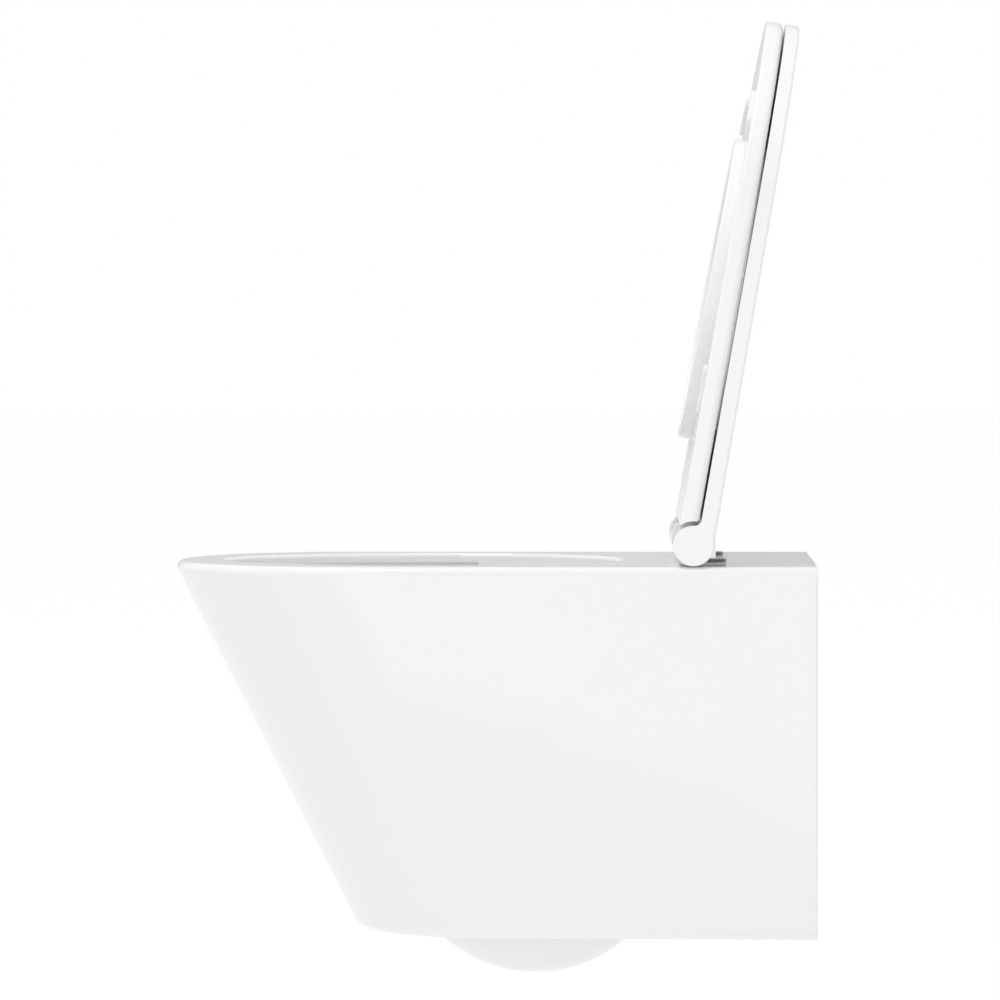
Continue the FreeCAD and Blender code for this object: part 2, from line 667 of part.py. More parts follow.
def lid():
    roll_top = ROLL_R
    front_top = LID_BASE + LID_FRONT_THICKNESS
    plate = prism(seat_outline(0), AXIS_Z + LID_BASE, AXIS_Z + roll_top)
    wedge = slice_between([(0, LID_BASE - 1), (SEAT_LENGTH + 1, LID_BASE - 1),
                           (SEAT_LENGTH + 1, front_top), (0, roll_top)], PAN_WIDTH)
    plate = plate.common(wedge)

    def outer_edge(edge):
        b = edge.BoundBox
        top = b.ZMax > AXIS_Z + LID_BASE + 1
        upright = b.ZLength > 8 and b.YLength < 1 and b.XLength < 1
        at_back = b.YMin > AXIS_Y - 0.01
        return top and not upright and not at_back
    plate = fillet_where(plate, LID_TOP_EDGE_R, outer_edge)
    plate = fillet_where(plate, LID_BASE_EDGE_R, flat_edge_at(AXIS_Z + LID_BASE, AXIS_Y))

    roll = cylinder(ROLL_R, V(-HALF_SEAT, AXIS_Y, AXIS_Z), V(HALF_SEAT, AXIS_Y, AXIS_Z))
    roll = roll.makeFillet(1.0, [e for e in roll.Edges if abs(e.BoundBox.XLength) < 0.01])
    ears = roll.fuse(ear_root())
    for side in SIDES.values():
        inner = side * (BARREL_INNER_X - 1.5)
        outer = side * EAR_INNER_X
        ears = ears.cut(box(inner, outer, AXIS_Y + 2 * ROLL_R, AXIS_Y - 2 * ROLL_R,
                            AXIS_Z - 2 * ROLL_R, AXIS_Z + 2 * ROLL_R))
        plate = plate.cut(box(inner, outer, AXIS_Y + 2 * ROLL_R, AXIS_Y - LID_NOTCH,
                              AXIS_Z - 2 * ROLL_R, AXIS_Z + 2 * ROLL_R))
    cover = plate.fuse(ears)
    cover, bushes = bearings(cover, EAR_INNER_X, PIN_OUTER_X + SIDE)
    export("lid_cover", [raised(cover)])
    for name, bush in bushes.items():
        export("lid_bush_" + name, [raised(bush)])

    pads = []
    for side in SIDES.values():
        for s, x in ((SEAT_LENGTH - LID_PAD_FROM_TIP, HALF_SEAT - LID_PAD_FRONT_INSET),
                     (LID_PAD_REAR_S, HALF_SEAT - LID_PAD_REAR_INSET)):
            foot = from_axis(s, LID_BASE - LID_GAP + BUFFER_GAP, side * x)
            pads.append(raised(cylinder(LID_PAD_R, foot, from_axis(s, LID_BASE, side * x))))
    export("lid_buffers", pads)


def seat_oval(grow):
    """Oval of the ring's opening; grow is zero at the outside of the lip."""
    middle = (LIP_FRONT + LIP_REAR) / 2
    return egg(AXIS_Y - middle, AXIS_Y - LIP_FRONT - grow, AXIS_Y - LIP_REAR + grow,
               LIP_WIDTH / 2 + grow, 0)


def seat():
    plate = prism(seat_outline(0), AXIS_Z + SEAT_BASE, AXIS_Z + SEAT_TOP)
    plate = fillet_where(plate, SEAT_TOP_EDGE_R,
                         flat_edge_at(AXIS_Z + SEAT_TOP, AXIS_Y))
    plate = fillet_where(plate, SEAT_BASE_EDGE_R,
                         flat_edge_at(AXIS_Z + SEAT_BASE, AXIS_Y))
    plate = plate.cut(cylinder(SEAT_REAR_R, V(-PAN_WIDTH, AXIS_Y, AXIS_Z),
                               V(PAN_WIDTH, AXIS_Y, AXIS_Z)))
    past = SEAT_REAR_R + SEAT_REAR_EDGE_R
    plate = plate.cut(slice_between([
        (SEAT_REAR_R - 5, SEAT_TOP - SEAT_REAR_EDGE_R), (SEAT_REAR_R, SEAT_TOP - SEAT_REAR_EDGE_R),
        (past, SEAT_TOP), (past, SEAT_TOP + 2), (SEAT_REAR_R - 5, SEAT_TOP + 2)], PAN_WIDTH))

    # The lip dips deeper towards the hinge.
    lip = prism(seat_oval(0), AXIS_Z + SEAT_BASE - LIP_DEPTH_REAR - 5, AXIS_Z + SEAT_BASE)
    lip_limit = slice_between([
        (LIP_REAR - 1, SEAT_BASE), (LIP_REAR - 1, SEAT_BASE - LIP_DEPTH_REAR),
        (LIP_FRONT + 1, SEAT_BASE - LIP_DEPTH_FRONT), (LIP_FRONT + 1, SEAT_BASE)], PAN_WIDTH)
    ring = plate.fuse(lip.common(lip_limit))
    through = prism(seat_oval(-LIP_WALL), AXIS_Z + SEAT_BASE - 30, AXIS_Z + SEAT_TOP + 1)
    ring = ring.cut(through)

    def opening_top(edge):
        b = edge.BoundBox
        flat = abs(b.ZMin - AXIS_Z - SEAT_TOP) < 0.01 and b.ZLength < 0.01
        return flat and b.YMin > AXIS_Y - LIP_FRONT and b.YMax < AXIS_Y - LIP_REAR
    ring = fillet_where(ring, SEAT_TOP_EDGE_R, opening_top)

    def lip_rim(edge):
        b = edge.BoundBox
        return b.ZMax < AXIS_Z + SEAT_BASE - LIP_DEPTH_FRONT + 1
    ring = fillet_where(ring, LIP_EDGE_R, lip_rim)

    for side in SIDES.values():
        knuckle = cylinder(KNUCKLE_R, V(side * KNUCKLE_INNER_X, AXIS_Y, AXIS_Z),
                           V(side * KNUCKLE_OUTER_X, AXIS_Y, AXIS_Z))
        arm = slice_between([(0, SEAT_TOP), (0, -KNUCKLE_R), (SEAT_REAR_R + 6, -KNUCKLE_R),
                             (SEAT_REAR_R + 6, SEAT_TOP)], PAN_WIDTH)
        arm = arm.common(box(side * KNUCKLE_INNER_X, side * KNUCKLE_OUTER_X,
                             AXIS_Y, AXIS_Y - 2 * SEAT_REAR_R, RIM_Z, AXIS_Z + BARREL_R))
        ring = ring.fuse([knuckle, arm])
    ring, bushes = bearings(ring, KNUCKLE_INNER_X, KNUCKLE_OUTER_X)
    export("seat_ring", [raised(ring)])
    for name, bush in bushes.items():
        export("seat_bush_" + name, [raised(bush)])
    export("seat_buffers", [raised(b) for b in seat_pads()])


def seat_pads():
    """Oblong pads that rest on the rim, the front pair along its curve."""
    top = SEAT_BASE
    foot = -AXIS_ABOVE_RIM + BUFFER_GAP
    half = (BUFFER_LENGTH - BUFFER_WIDTH) / 2
    places = (
        (SEAT_LENGTH - FRONT_BUFFER_FROM_TIP, HALF_SEAT - FRONT_BUFFER_INSET,
         FRONT_BUFFER_ANGLE),
        (REAR_BUFFER_S, HALF_SEAT - REAR_BUFFER_INSET, REAR_BUFFER_ANGLE),
    )
    pads = []
    for side in SIDES.values():
        for s, x, angle in places:
            turn = math.radians(angle)
            ends = []
            for sign in (-1, 1):
                ends.append((s - sign * half * math.sin(turn),
                             side * (x + sign * half * math.cos(turn))))
            bars = [cylinder(BUFFER_WIDTH / 2, from_axis(es, foot, ex),
                             from_axis(es, top, ex)) for es, ex in ends]
            a = from_axis(ends[0][0], foot, ends[0][1])
            b = from_axis(ends[1][0], foot, ends[1][1])
            across = (b - a).cross(V(0, 0, 1))
            across.normalize()
            across = across * (BUFFER_WIDTH / 2)
            corners = [a + across, b + across, b - across, a - across, a + across]
            middle = Part.Face(Part.makePolygon(corners)).extrude(V(0, 0, top - foot))
            pad = middle.fuse(bars).removeSplitter()
            pads.append(pad)
    return pads


pan = ceramic_pan()
export("ceramic_pan", [pan])
wall_fixings()
deck_fixings()
hinge_bodies()
lid()
seat()
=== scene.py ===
"""A wall hung toilet dressed and lit for a picture: finishes, small parts, lights and camera."""

from __future__ import annotations

import json
import logging
import math
from dataclasses import dataclass
from enum import Enum

import bpy
from mathutils import Euler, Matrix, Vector


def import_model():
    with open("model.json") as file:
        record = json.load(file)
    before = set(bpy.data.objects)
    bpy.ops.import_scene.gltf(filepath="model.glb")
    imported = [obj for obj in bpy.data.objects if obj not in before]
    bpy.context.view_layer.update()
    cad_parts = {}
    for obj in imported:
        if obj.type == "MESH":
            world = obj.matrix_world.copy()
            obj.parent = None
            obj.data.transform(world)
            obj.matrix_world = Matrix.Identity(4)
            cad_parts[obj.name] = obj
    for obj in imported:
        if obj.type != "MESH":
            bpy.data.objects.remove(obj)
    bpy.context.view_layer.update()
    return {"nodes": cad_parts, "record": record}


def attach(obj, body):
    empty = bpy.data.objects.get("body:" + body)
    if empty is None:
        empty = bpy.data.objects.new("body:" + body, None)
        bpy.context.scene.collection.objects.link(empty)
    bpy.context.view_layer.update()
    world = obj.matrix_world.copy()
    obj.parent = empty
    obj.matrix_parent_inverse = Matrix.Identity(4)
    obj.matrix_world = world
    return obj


LOG = logging.getLogger("toilet")
SIDES = ("left", "right")
SIGNS = (-1, 1)
RGB = tuple[float, float, float]
Band = tuple[float, float]
WHITE = (1.0, 1.0, 1.0, 1.0)
MIX_SHARE, MIX_FIRST, MIX_SECOND, MIX_RESULT = 0, 6, 7, 2


class Node(Enum):
    """Shader node types that the finishes and the studio use."""

    COORDS = "ShaderNodeTexCoord"
    MATHS = "ShaderNodeMath"
    NOISE = "ShaderNodeTexNoise"
    MIX = "ShaderNodeMix"
    BUMP = "ShaderNodeBump"
    AXES = "ShaderNodeSeparateXYZ"
    MAPPING = "ShaderNodeMapping"
    RAYS = "ShaderNodeLightPath"
    GLOW = "ShaderNodeEmission"
    MATT = "ShaderNodeBsdfDiffuse"
    MIX_SHADER = "ShaderNodeMixShader"


@dataclass(frozen=True)
class Texture:
    """Recipe of a noise: waves per metre, finer octaves, their strength, and scale by axis."""

    scale: float
    detail: float = 2.0
    roughness: float = 0.5
    stretch: RGB = (1.0, 1.0, 1.0)


class Wave:
    """A number that varies over a surface: wraps a socket so that Python operators add nodes."""

    def __init__(self, graph: "Graph", socket: bpy.types.NodeSocket) -> None:
        """Keep the socket and the graph that it belongs to.

        Args:
            graph: Graph that new nodes are added to.
            socket: Output socket with the value.
        """
        self.graph = graph
        self.socket = socket

    def _join(self, operation: str, first: object, second: object) -> "Wave":
        """Return the result of a Math node on two values."""
        out = self.graph.add(Node.MATHS, {"operation": operation}, {0: first, 1: second})
        return Wave(self.graph, out.outputs[0])

    def __add__(self, other: object) -> "Wave":
        """Return self + other."""
        return self._join("ADD", self, other)

    __radd__ = __add__

    def __sub__(self, other: object) -> "Wave":
        """Return self - other."""
        return self._join("SUBTRACT", self, other)

    def __rsub__(self, other: object) -> "Wave":
        """Return other - self."""
        return self._join("SUBTRACT", other, self)

    def __mul__(self, other: object) -> "Wave":
        """Return self * other."""
        return self._join("MULTIPLY", self, other)

    __rmul__ = __mul__

    def __truediv__(self, other: object) -> "Wave":
        """Return self / other."""
        return self._join("DIVIDE", self, other)

    def function(self, operation: str, other: object = 0.0) -> "Wave":
        """Return a named Math operation on this value.

        Args:
            operation: Math node operation, such as MAXIMUM or ABSOLUTE.
            other: Second value, for operations that have one.

        Returns:
            The result.
        """
        return self._join(operation, self, other)

    def step(self, low: float, high: float) -> "Wave":
        """Return 0 below low, 1 above high and a straight rise between.

        Args:
            low: Value that gives 0.
            high: Value that gives 1.

        Returns:
            The clamped rise.
        """
        rise = (self - low) / (high - low)
        return rise.function("MAXIMUM", 0.0).function("MINIMUM", 1.0)


class Graph:
    """Node tree of one material, or of the world."""

    def __init__(self, name: str) -> None:
        """Start a material with its shader.

        Args:
            name: Name of the material.
        """
        self.material = bpy.data.materials.new(name)
        self.material.use_nodes = True
        self.tree = self.material.node_tree
        self.shader = self.tree.nodes["Principled BSDF"]

    @classmethod
    def of_tree(cls, tree: bpy.types.NodeTree) -> "Graph":
        """Return a graph over a tree that exists, such as the world's.

        Args:
            tree: Node tree to add nodes to.

        Returns:
            The graph, which has no material or shader of its own.
        """
        graph = cls.__new__(cls)
        graph.material = None
        graph.tree = tree
        graph.shader = None
        return graph

    def _fill(self, socket: bpy.types.NodeSocket, value: object) -> None:
        """Link a Wave or an output to an input socket, or set its own value.

        Args:
            socket: Input socket.
            value: Number, four-part colour, vector, Wave or output socket.
        """
        if isinstance(value, Wave):
            self.tree.links.new(value.socket, socket)
        elif isinstance(value, bpy.types.NodeSocket):
            self.tree.links.new(value, socket)
        else:
            socket.default_value = value

    def add(self, kind: Node, settings: dict[str, object],
            values: dict[object, object]) -> bpy.types.Node:
        """Add a node, set its settings and then its sockets.

        Args:
            kind: Type of node.
            settings: Properties to set first, such as a Math node's operation.
            values: Socket name or number to a number, colour, Wave or output socket.

        Returns:
            The node.
        """
        node = self.tree.nodes.new(kind.value)
        for key, value in settings.items():
            setattr(node, key, value)
        for key, value in values.items():
            self._fill(node.inputs[key], value)
        return node

    def place(self) -> bpy.types.NodeSocket:
        """Return the position on the piece, in metres."""
        return self.add(Node.COORDS, {}, {}).outputs["Object"]

    def axes(self) -> tuple[Wave, Wave, Wave]:
        """Return x, y and z of the position on the piece."""
        split = self.add(Node.AXES, {}, {"Vector": self.place()})
        return tuple(Wave(self, split.outputs[i]) for i in range(3))

    def noise(self, texture: Texture) -> Wave:
        """Return noise from 0 to 1.

        Args:
            texture: Recipe of the noise.

        Returns:
            The noise.
        """
        mapped = self.add(Node.MAPPING, {}, {"Vector": self.place(), "Scale": texture.stretch})
        node = self.add(Node.NOISE, {}, {"Vector": mapped.outputs[0], "Scale": texture.scale,
                                         "Detail": texture.detail,
                                         "Roughness": texture.roughness})
        return Wave(self, node.outputs["Fac"])

    def blend(self, share: object, first: RGB | bpy.types.NodeSocket,
              second: RGB | bpy.types.NodeSocket) -> bpy.types.NodeSocket:
        """Mix two colours.

        Args:
            share: 0 for the first colour, 1 for the second.
            first: First colour.
            second: Second colour.

        Returns:
            The mixed colour.
        """
        def full(colour: object) -> object:
            """Return a plain colour with its alpha, and a socket as it is."""
            return (*colour, 1.0) if isinstance(colour, tuple) else colour

        node = self.add(Node.MIX, {"data_type": "RGBA"},
                        {MIX_SHARE: share, MIX_FIRST: full(first), MIX_SECOND: full(second)})
        return node.outputs[MIX_RESULT]

    def set(self, name: str, value: object) -> None:
        """Set or link a socket of the shader.

        Args:
            name: Socket name.
            value: Number, Wave or output socket.
        """
        self._fill(self.shader.inputs[name], value)

    def bump(self, height: Wave, depth: float) -> None:
        """Raise the surface by a height.

        Args:
            height: Height from 0 to 1.
            depth: Depth that 1 stands for, in metres.
        """
        node = self.add(Node.BUMP, {}, {"Height": height, "Distance": depth, "Strength": 1.0})
        self.set("Normal", node.outputs[0])


@dataclass(frozen=True)
class Glaze:
    """White sanitary glaze, with bare ceramic on the ground rear edge and in the rear hollow."""

    colour: RGB = (0.862, 0.864, 0.862)
    pooled: RGB = (0.835, 0.838, 0.836)
    body: RGB = (0.79, 0.77, 0.735)
    pale_body: RGB = (0.83, 0.815, 0.785)
    drift: Texture = Texture(3.5, 2.0, 0.4)
    drift_band: Band = (0.35, 0.75)
    drift_share: float = 0.35
    ripple: Texture = Texture(22.0, 1.0, 0.4)
    ripple_height: float = 0.6
    ripple_roughness: float = 0.03
    peel: Texture = Texture(160.0, 1.0, 0.4)
    peel_height: float = 0.08
    grain: Texture = Texture(900.0, 2.0, 0.6)
    grain_height: float = 0.2
    roughness: float = 0.07
    bare_roughness: float = 0.6
    ior: float = 1.5
    relief: float = 0.00022
    edge: Texture = Texture(90.0)
    edge_wander: float = 0.0016
    edge_band: Band = (-0.0012, -0.0004)
    wall_half_width: float = 0.174
    wall_draw_in: float = 0.004
    wall_turn_in: float = 0.0478
    rim_z: float = 0.080
    pan_height: float = 0.3095
    hollow_front_y: float = -0.150
    hollow_floor_z: float = -0.2225
    hollow_roof_z: float = 0.068
    hollow_share: float = 0.85

    def _bare(self, graph: Graph) -> Wave:
        """Return 1 where no glaze is: behind the middle of the skirt's wall and on its rear edge.

        Args:
            graph: The material's graph.

        Returns:
            The mask.
        """
        across, depth, height = graph.axes()
        ground = (depth + graph.noise(self.edge) * self.edge_wander).step(*self.edge_band)
        drop = (self.rim_z - height) / self.pan_height
        mid_wall = self.wall_half_width - drop * (self.wall_draw_in - depth * self.wall_turn_in)
        inside = (mid_wall - across.function("ABSOLUTE")).function("GREATER_THAN", 0.0)
        behind = depth.function("GREATER_THAN", self.hollow_front_y)
        above = height.function("GREATER_THAN", self.hollow_floor_z)
        below = height.function("LESS_THAN", self.hollow_roof_z)
        return ground.function("MAXIMUM", inside * behind * above * below * self.hollow_share)

    def build(self) -> bpy.types.Material:
        """Return the material."""
        graph = Graph("glazed_ceramic")
        drift = graph.noise(self.drift).step(*self.drift_band) * self.drift_share
        ripple = graph.noise(self.ripple)
        peel = graph.noise(self.peel)
        grain = graph.noise(self.grain)
        bare = self._bare(graph)
        glazed = graph.blend(drift, self.colour, self.pooled)
        biscuit = graph.blend(grain, self.body, self.pale_body)
        polish = ripple * self.ripple_roughness + self.roughness
        waves = ripple * self.ripple_height + peel * self.peel_height
        graph.set("Base Color", graph.blend(bare, glazed, biscuit))
        graph.set("Roughness", bare * self.bare_roughness + polish)
        graph.set("IOR", self.ior)
        graph.bump(waves + bare * grain * self.grain_height, self.relief)
        return graph.material


@dataclass(frozen=True)
class Duroplast:
    """Hard white moulded resin of the seat and the lid, polished and slightly wavy."""

    colour: RGB = (0.868, 0.87, 0.868)
    shaded: RGB = (0.855, 0.857, 0.854)
    flow: Texture = Texture(7.0, 3.0, 0.5, (1.0, 1.0, 0.5))
    flow_band: Band = (0.4, 0.7)
    flow_share: float = 0.5
    flow_roughness: float = 0.05
    peel: Texture = Texture(420.0, 1.0, 0.5)
    peel_height: float = 0.5
    roughness: float = 0.16
    coat: float = 0.12
    coat_roughness: float = 0.06
    relief: float = 0.00005

    def build(self) -> bpy.types.Material:
        """Return the material."""
        graph = Graph("white_duroplast")
        flow = graph.noise(self.flow)
        peel = graph.noise(self.peel)
        share = flow.step(*self.flow_band) * self.flow_share
        graph.set("Base Color", graph.blend(share, self.colour, self.shaded))
        graph.set("Roughness", flow * self.flow_roughness + self.roughness)
        graph.set("Coat Weight", self.coat)
        graph.set("Coat Roughness", self.coat_roughness)
        graph.bump(peel * self.peel_height + flow, self.relief)
        return graph.material


@dataclass(frozen=True)
class Plating:
    """Polished plating with a faint water haze."""

    name: str
    colour: RGB
    hazed: RGB
    haze: Texture
    haze_band: Band
    haze_share: float
    roughness: float
    haze_roughness: float
    waves: Texture = Texture(240.0)
    relief: float = 0.00001

    def build(self) -> bpy.types.Material:
        """Return the material."""
        graph = Graph(self.name)
        haze = graph.noise(self.haze)
        share = haze.step(*self.haze_band) * self.haze_share
        graph.set("Base Color", graph.blend(share, self.colour, self.hazed))
        graph.set("Metallic", 1.0)
        graph.set("Roughness", haze * self.haze_roughness + self.roughness)
        graph.bump(graph.noise(self.waves), self.relief)
        return graph.material


@dataclass(frozen=True)
class PlatedSteel:
    """Zinc plated steel with turning marks."""

    colour: RGB = (0.52, 0.53, 0.54)
    spangled: RGB = (0.66, 0.66, 0.64)
    spangle: Texture = Texture(260.0, 3.0, 0.6)
    spangle_roughness: float = 0.2
    marks: Texture = Texture(90.0, 1.0, 0.5, (30.0, 30.0, 1.0))
    marks_roughness: float = 0.1
    roughness: float = 0.22
    relief: float = 0.00003

    def build(self) -> bpy.types.Material:
        """Return the material."""
        graph = Graph("zinc_coated_steel")
        spangle = graph.noise(self.spangle)
        marks = graph.noise(self.marks)
        matting = spangle * self.spangle_roughness + marks * self.marks_roughness
        graph.set("Base Color", graph.blend(spangle, self.colour, self.spangled))
        graph.set("Metallic", 1.0)
        graph.set("Roughness", matting + self.roughness)
        graph.bump(marks, self.relief)
        return graph.material


@dataclass(frozen=True)
class Brass:
    """Machined brass, a little tarnished."""

    colour: RGB = (0.55, 0.38, 0.15)
    tarnished: RGB = (0.34, 0.22, 0.10)
    tarnish: Texture = Texture(220.0, 4.0, 0.6)
    tarnish_band: Band = (0.4, 0.8)
    tarnish_roughness: float = 0.2
    roughness: float = 0.2
    cut: Texture = Texture(500.0)
    relief: float = 0.00002

    def build(self) -> bpy.types.Material:
        """Return the material."""
        graph = Graph("brass")
        tarnish = graph.noise(self.tarnish)
        share = tarnish.step(*self.tarnish_band)
        graph.set("Base Color", graph.blend(share, self.colour, self.tarnished))
        graph.set("Metallic", 1.0)
        graph.set("Roughness", tarnish * self.tarnish_roughness + self.roughness)
        graph.bump(graph.noise(self.cut), self.relief)
        return graph.material


@dataclass(frozen=True)
class Moulded:
    """Moulded plastic or rubber with a fine spark-eroded grain."""

    name: str
    colour: RGB
    worn: RGB
    roughness: float
    relief: float = 0.00004
    sparks: Texture = Texture(1500.0, 2.0, 0.6)
    patches: Texture = Texture(60.0, 3.0, 0.5)
    patch_band: Band = (0.35, 0.75)
    patch_roughness: float = 0.12

    def build(self) -> bpy.types.Material:
        """Return the material."""
        graph = Graph(self.name)
        patches = graph.noise(self.patches)
        share = patches.step(*self.patch_band)
        graph.set("Base Color", graph.blend(share, self.colour, self.worn))
        graph.set("Roughness", patches * self.patch_roughness + self.roughness)
        graph.bump(graph.noise(self.sparks), self.relief)
        return graph.material


class Finishes:
    """All finishes of the object, built once and handed out by slot name."""

    def __init__(self) -> None:
        """Build each finish."""
        self.by_slot: dict[str, bpy.types.Material] = {
            "glazed_ceramic": Glaze().build(),
            "white_duroplast": Duroplast().build(),
            "zinc_coated_steel": PlatedSteel().build(),
            "brass": Brass().build(),
        }
        named = (
            Plating("chrome", colour=(0.80, 0.81, 0.82), hazed=(0.84, 0.84, 0.84),
                    haze=Texture(70.0, 3.0, 0.6), haze_band=(0.45, 0.8), haze_share=0.3,
                    roughness=0.05, haze_roughness=0.10),
            # Deck discs: chrome painted near black, a painted dark reflection in place of the
            # plain chrome of their slot.
            Plating("chrome_painted_dark_reflection", colour=(0.085, 0.088, 0.095), hazed=(0.16, 0.165, 0.17),
                    haze=Texture(90.0, 3.0, 0.6), haze_band=(0.4, 0.8), haze_share=0.5,
                    roughness=0.10, haze_roughness=0.12),
            Moulded("grey_plastic", colour=(0.26, 0.27, 0.28), worn=(0.33, 0.34, 0.35),
                    roughness=0.42),
            Moulded("black_plastic", colour=(0.012, 0.012, 0.013), worn=(0.03, 0.03, 0.03),
                    roughness=0.45),
            Moulded("bearing_plastic", colour=(0.64, 0.64, 0.60), worn=(0.56, 0.56, 0.52),
                    roughness=0.38),
            Moulded("white_rubber", colour=(0.85, 0.85, 0.845), worn=(0.80, 0.80, 0.79),
                    roughness=0.55, relief=0.00006),
            Moulded("black_rubber", colour=(0.010, 0.010, 0.010), worn=(0.03, 0.03, 0.03),
                    roughness=0.7, relief=0.00008),
        )
        for finish in named:
            self.by_slot[finish.name] = finish.build()

    def dress(self, piece: bpy.types.Object, slot: str) -> None:
        """Give a piece one finish all over.

        Args:
            piece: Mesh object.
            slot: Name of the finish.
        """
        piece.data.materials.clear()
        piece.data.materials.append(self.by_slot[slot])


@dataclass(frozen=True)
class Lamp:
    """One soft square light that faces the object."""

    name: str
    place: RGB
    size: float
    power: float
    aim: RGB = (0.0, -0.25, 0.1)

    def hang(self) -> None:
        """Make the light."""
        data = bpy.data.lights.new(self.name, "AREA")
        data.size = self.size
        data.energy = self.power
        light = bpy.data.objects.new(self.name, data)
        bpy.context.scene.collection.objects.link(light)
        light.location = self.place
        way = Vector(self.aim) - Vector(self.place)
        light.rotation_euler = way.to_track_quat("-Z", "Y").to_euler()


@dataclass(frozen=True)
class Studio:
    """Camera, lights, floor and background."""

    camera_place: RGB = (6.19, -0.180, 0.313)
    turn_left_deg: float = 0.79
    tilt_down_deg: float = 1.69
    lens_mm: float = 262.0
    sensor_mm: float = 36.0
    clip_end: float = 100.0
    floor_z: float = -0.32
    floor_half_width: float = 30.0
    floor_glow: float = 1.05
    floor_matt: RGB = (0.9, 0.9, 0.9)
    glow_share: float = 0.65
    seen_glow_share: float = 0.23
    world_strength: float = 0.77
    overhead_share: float = 0.82
    overhead_band: Band = (0.10, 0.8)
    far_side_share: float = 0.78
    far_side_band: Band = (-0.985, -0.86)
    lamps: tuple[Lamp, ...] = (
        Lamp("key", place=(3.2, 2.9, 0.9), size=0.7, power=3.0),
        Lamp("top", place=(1.1, -1.4, 4.8), size=2.0, power=100.0),
        Lamp("low_fill", place=(1.9, -0.4, -0.29), size=1.4, power=5.0),
        Lamp("front_fill", place=(2.2, -4.6, 0.7), size=1.0, power=5.0),
    )

    def build(self) -> None:
        """Make everything round the object."""
        self._world()
        self._floor()
        self._camera()
        for lamp in self.lamps:
            lamp.hang()

    def _world(self) -> None:
        """Show white, and light the object a little less from overhead and from beyond it."""
        world = bpy.data.worlds.new("studio")
        bpy.context.scene.world = world
        world.use_nodes = True
        graph = Graph.of_tree(world.node_tree)
        rays = graph.add(Node.RAYS, {}, {}).outputs
        place = graph.add(Node.COORDS, {}, {}).outputs["Generated"]
        way = graph.add(Node.AXES, {}, {"Vector": place}).outputs
        up = Wave(graph, way["Z"]).step(*self.overhead_band)
        near_side = Wave(graph, way["X"]).step(*self.far_side_band)
        seen = Wave(graph, rays["Is Camera Ray"])
        seen = seen.function("MAXIMUM", rays["Is Transmission Ray"])
        seen = seen.function("MAXIMUM", Wave(graph, rays["Is Glossy Ray"]) * near_side)
        sideways = near_side * (1.0 - self.far_side_share) + self.far_side_share
        lit = (1.0 - up * (1.0 - self.overhead_share)) * sideways * self.world_strength
        back = world.node_tree.nodes["Background"]
        back.inputs["Color"].default_value = WHITE
        strength = lit * (1.0 - seen) + seen
        world.node_tree.links.new(strength.socket, back.inputs["Strength"])

    def _floor(self) -> None:
        """Lay a glowing pale floor that keeps a faint shadow."""
        graph = Graph("floor")
        graph.tree.nodes.remove(graph.shader)
        rays = graph.add(Node.RAYS, {}, {}).outputs
        glow = graph.add(Node.GLOW, {}, {"Color": WHITE, "Strength": self.floor_glow})
        matt = graph.add(Node.MATT, {}, {"Color": (*self.floor_matt, 1.0)})
        seen = Wave(graph, rays["Is Camera Ray"])
        for kind in ("Is Glossy Ray", "Is Transmission Ray"):
            seen = seen.function("MAXIMUM", rays[kind])
        share = seen * self.seen_glow_share + self.glow_share
        mixed = graph.add(Node.MIX_SHADER, {}, {0: share, 1: matt.outputs[0], 2: glow.outputs[0]})
        out = graph.tree.nodes["Material Output"]
        graph.tree.links.new(mixed.outputs[0], out.inputs["Surface"])
        mesh = bpy.data.meshes.new("floor")
        half = self.floor_half_width
        mesh.from_pydata([(-half, -half, self.floor_z), (half, -half, self.floor_z),
                          (half, half, self.floor_z), (-half, half, self.floor_z)],
                         [], [(0, 1, 2, 3)])
        floor = bpy.data.objects.new("floor", mesh)
        floor.data.materials.append(graph.material)
        bpy.context.scene.collection.objects.link(floor)

    def _camera(self) -> None:
        """Stand the camera where the photographer stood, far off to the right side."""
        data = bpy.data.cameras.new("camera")
        data.lens = self.lens_mm
        data.sensor_width = self.sensor_mm
        data.clip_end = self.clip_end
        camera = bpy.data.objects.new("camera", data)
        bpy.context.scene.collection.objects.link(camera)
        camera.location = self.camera_place
        camera.rotation_euler = Euler((math.radians(90.0 - self.tilt_down_deg), 0.0,
                                       math.radians(90.0 + self.turn_left_deg)))
        bpy.context.scene.camera = camera


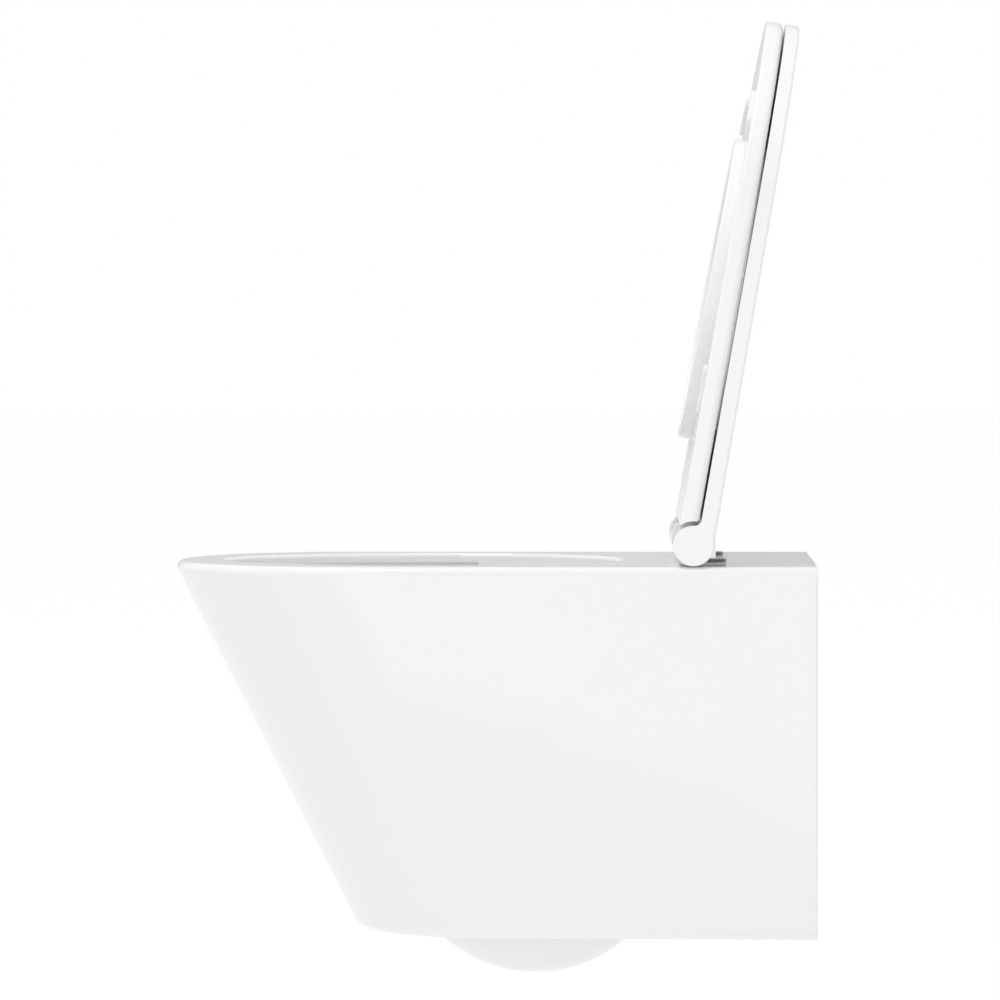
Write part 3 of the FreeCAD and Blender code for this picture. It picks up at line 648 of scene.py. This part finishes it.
@dataclass(frozen=True)
class ThreadStack:
    """Raised turns of a screw thread, as a stack of thin rings on upright axes."""

    name: str
    places: tuple[RGB, ...]
    radius: float
    length: float
    pitch: float = 0.001
    depth: float = 0.00035
    ring_points: int = 28
    profile_points: int = 4

    def build(self, finish: bpy.types.Material) -> bpy.types.Object:
        """Make the rings with Geometry Nodes and bake them to one mesh.

        Args:
            finish: Material of the rings.

        Returns:
            The finished piece.
        """
        tree = self._tree()
        mesh = bpy.data.meshes.new(self.name + "_places")
        mesh.from_pydata([Vector(p) for p in self.places], [], [])
        holder = bpy.data.objects.new(self.name + "_holder", mesh)
        bpy.context.scene.collection.objects.link(holder)
        modifier = holder.modifiers.new("turns", "NODES")
        modifier.node_group = tree
        values = {"Count": int(self.length / self.pitch), "Pitch": self.pitch,
                  "Radius": self.radius, "Depth": self.depth, "Finish": finish}
        for item in tree.interface.items_tree:
            if item.item_type == "SOCKET" and item.in_out == "INPUT" and item.name in values:
                modifier[item.identifier] = values[item.name]
        bpy.context.view_layer.update()
        graph = bpy.context.evaluated_depsgraph_get()
        baked = bpy.data.meshes.new_from_object(holder.evaluated_get(graph), depsgraph=graph)
        bpy.data.objects.remove(holder)
        piece = bpy.data.objects.new(self.name, baked)
        baked.name = self.name
        baked.shade_smooth()
        bpy.context.scene.collection.objects.link(piece)
        return piece

    def _tree(self) -> bpy.types.NodeTree:
        """Return the tree: a ring, stacked along Z and set on each place."""
        tree = bpy.data.node_groups.new("thread_turns", "GeometryNodeTree")
        face = tree.interface
        face.new_socket("Geometry", in_out="INPUT", socket_type="NodeSocketGeometry")
        face.new_socket("Count", in_out="INPUT", socket_type="NodeSocketInt")
        for name in ("Pitch", "Radius", "Depth"):
            face.new_socket(name, in_out="INPUT", socket_type="NodeSocketFloat")
        face.new_socket("Finish", in_out="INPUT", socket_type="NodeSocketMaterial")
        face.new_socket("Geometry", in_out="OUTPUT", socket_type="NodeSocketGeometry")
        make, link = tree.nodes.new, tree.links.new
        given = make("NodeGroupInput").outputs
        ring = make("GeometryNodeCurvePrimitiveCircle")
        ring.inputs["Resolution"].default_value = self.ring_points
        link(given["Radius"], ring.inputs["Radius"])
        profile = make("GeometryNodeCurvePrimitiveCircle")
        profile.inputs["Resolution"].default_value = self.profile_points
        link(given["Depth"], profile.inputs["Radius"])
        turn = make("GeometryNodeCurveToMesh")
        link(ring.outputs["Curve"], turn.inputs["Curve"])
        link(profile.outputs["Curve"], turn.inputs["Profile Curve"])
        step = make("ShaderNodeCombineXYZ")
        link(given["Pitch"], step.inputs["Z"])
        line = make("GeometryNodeMeshLine")
        link(given["Count"], line.inputs["Count"])
        link(step.outputs[0], line.inputs["Offset"])
        stack = make("GeometryNodeInstanceOnPoints")
        link(line.outputs["Mesh"], stack.inputs["Points"])
        link(turn.outputs["Mesh"], stack.inputs["Instance"])
        spread = make("GeometryNodeInstanceOnPoints")
        link(given["Geometry"], spread.inputs["Points"])
        link(stack.outputs["Instances"], spread.inputs["Instance"])
        real = make("GeometryNodeRealizeInstances")
        link(spread.outputs["Instances"], real.inputs["Geometry"])
        paint = make("GeometryNodeSetMaterial")
        link(real.outputs["Geometry"], paint.inputs["Geometry"])
        link(given["Finish"], paint.inputs["Material"])
        link(paint.outputs["Geometry"], make("NodeGroupOutput").inputs[0])
        return tree


@dataclass(frozen=True)
class Fixings:
    """Threads of the seat's bolts and of the wall clamps' screws."""

    seat_hole_x: float = 0.0775
    seat_hole_y: float = -0.094
    seat_bolt_radius: float = 0.003
    bolt_tip_z: float = 0.0522
    bolt_tip_length: float = 0.0055
    clamp_x: float = 0.090
    clamp_y: float = -0.053
    clamp_radius: float = 0.004
    clamp_neck_z: float = 0.0225
    clamp_neck_length: float = 0.0125
    clamp_pitch: float = 0.00125
    clamp_thread_depth: float = 0.0004

    def build(self, finishes: Finishes) -> None:
        """Make the threads, which belong to the pan's body.

        Args:
            finishes: The object's finishes.
        """
        stacks = (
            ThreadStack("seat_bolt_threads",
                        self._pair(self.seat_hole_x, self.seat_hole_y, self.bolt_tip_z),
                        self.seat_bolt_radius, self.bolt_tip_length),
            ThreadStack("clamp_screw_threads",
                        self._pair(self.clamp_x, self.clamp_y, self.clamp_neck_z),
                        self.clamp_radius, self.clamp_neck_length,
                        self.clamp_pitch, self.clamp_thread_depth),
        )
        for stack in stacks:
            piece = stack.build(finishes.by_slot["zinc_coated_steel"])
            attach(piece, "pan")
            LOG.info("made %s", piece.name)

    @staticmethod
    def _pair(x: float, y: float, z: float) -> tuple[RGB, ...]:
        """Return a place on the left and its mirror image on the right.

        Args:
            x: Distance from the middle.
            y: Place from the wall.
            z: Height.

        Returns:
            The two places.
        """
        return tuple((sign * x, y, z) for sign in SIGNS)


def dress_carried_nodes(frame: dict, finishes: Finishes) -> None:
    """Give every CAD node the finish of its slot, and the deck discs chrome painted near black, a
    painted dark reflection.

    Args:
        finishes: The object's finishes.
    """
    for part in frame["record"]["subparts"]:
        finishes.dress(frame["nodes"][part["node"]], part["material_slot"])
        LOG.info("dressed %s in %s", part["node"], part["material_slot"])
    for side in SIDES:
        # The deck discs get chrome painted near black: a painted dark reflection, not the chrome
        # of their slot.
        finishes.dress(frame["nodes"]["hinge_rosette_" + side], "chrome_painted_dark_reflection")


def main() -> None:
    """Build the scene in order."""
    logging.basicConfig(level=logging.INFO)
    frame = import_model()
    finishes = Finishes()
    dress_carried_nodes(frame, finishes)
    Fixings().build(finishes)
    Studio().build()
    bpy.context.scene.view_settings.view_transform = "Standard"


if __name__ == "__main__":
    main()
